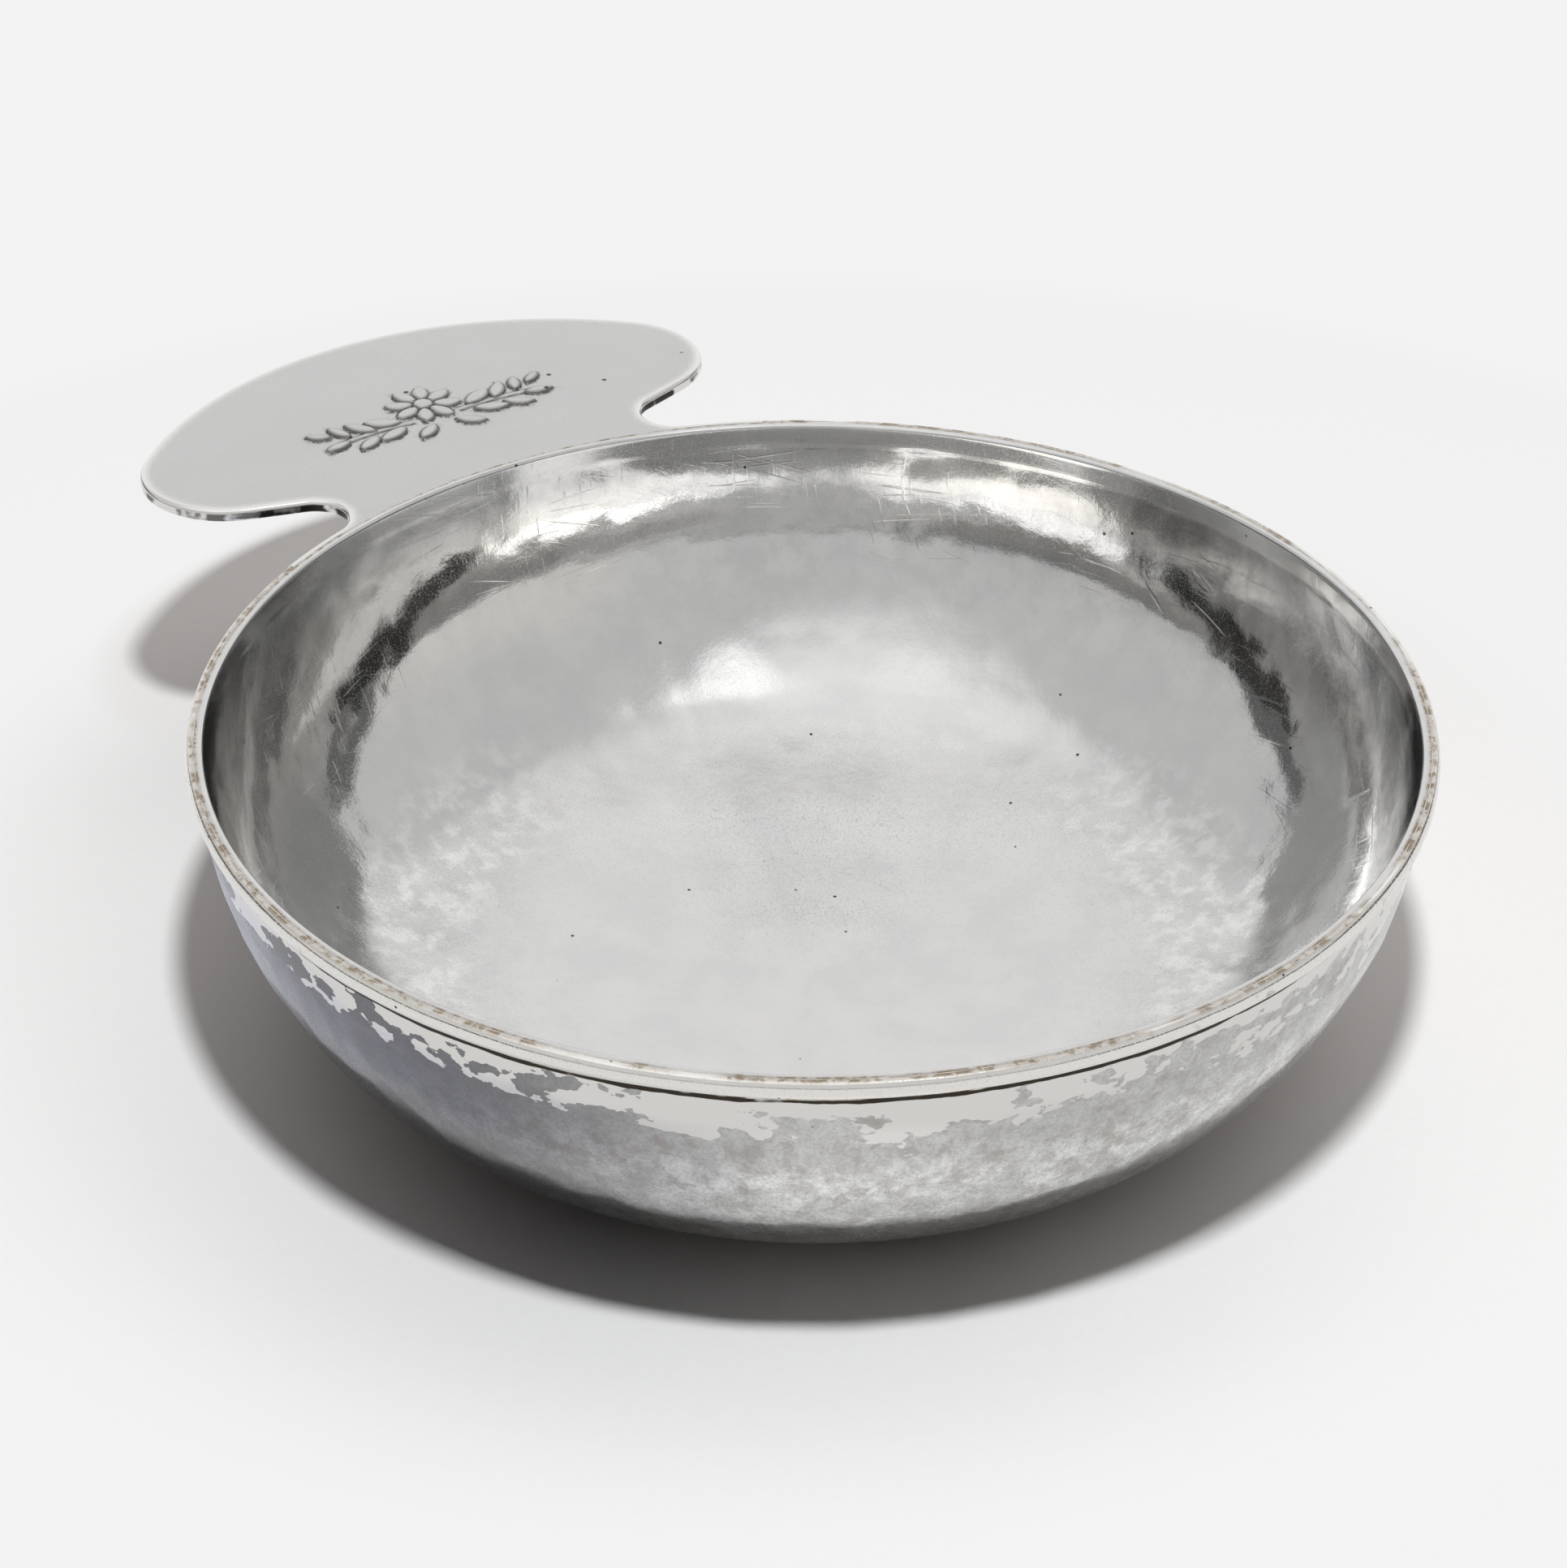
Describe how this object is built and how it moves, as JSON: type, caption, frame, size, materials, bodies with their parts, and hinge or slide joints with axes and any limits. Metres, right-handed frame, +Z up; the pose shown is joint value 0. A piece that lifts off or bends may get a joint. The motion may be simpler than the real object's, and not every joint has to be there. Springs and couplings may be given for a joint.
{
  "type": "porringer",
  "caption": "Shallow hand-raised metal bowl with a hammered wall, a rounded wire rim and one flat kidney-shaped tab handle level with the rim.",
  "frame": {"origin": "centre of the flat base, on the surface that the bowl stands on", "axes": "+Z up along the bowl's axis, +Y along the handle, away from the bowl"},
  "size_m": [0.127, 0.165, 0.035],
  "materials": {
    "hammered_sheet": "polished pewter sheet with planishing marks, scratches and pits",
    "rim_metal": "polished pewter with brown tarnish along the edge",
    "handle_metal": "satin pewter plate with a low chased ornament and dark edges",
    "solder": "dull grey soft solder"
  },
  "bodies": {
    "root": {"bowl": "hammered_sheet", "rim_wire": "rim_metal", "handle": "handle_metal", "rim_solder": "solder", "handle_solder": "solder"}
  },
  "joints": []
}
